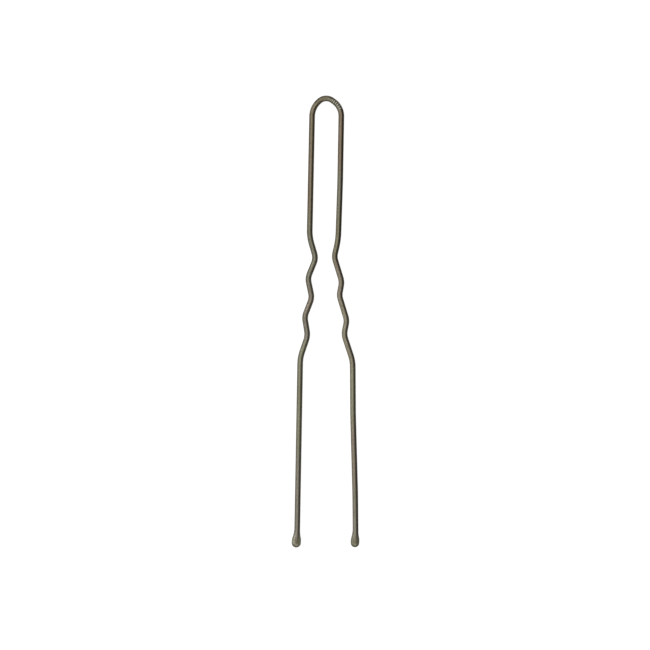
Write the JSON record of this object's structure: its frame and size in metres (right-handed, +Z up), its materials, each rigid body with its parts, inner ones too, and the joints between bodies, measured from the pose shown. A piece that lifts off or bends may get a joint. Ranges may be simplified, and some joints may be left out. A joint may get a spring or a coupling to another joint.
{
  "type": "french hair pin",
  "caption": "Slim lacquered wire hair pin: a narrow bow, straight shanks, crimped legs that spread below, and a rounded lacquer drop on each end.",
  "frame": {"origin": "middle of the pin's outline seen from above, on the surface it lies on", "axes": "+Y along the pin towards the bow, +Z up from the surface, +X to the right with the bow pointing away"},
  "size_m": [0.0112, 0.075, 0.0016],
  "materials": {
    "wire_lacquer": "satin bronze-brown stoving lacquer on spring steel wire, with faint drawing lines and soft bender marks",
    "drop_lacquer": "thick glossy dipped lacquer, the same bronze-brown, slightly olive at the bottom"
  },
  "bodies": {
    "root": {"wire": "wire_lacquer", "tip_left": "drop_lacquer", "tip_right": "drop_lacquer"}
  },
  "joints": []
}
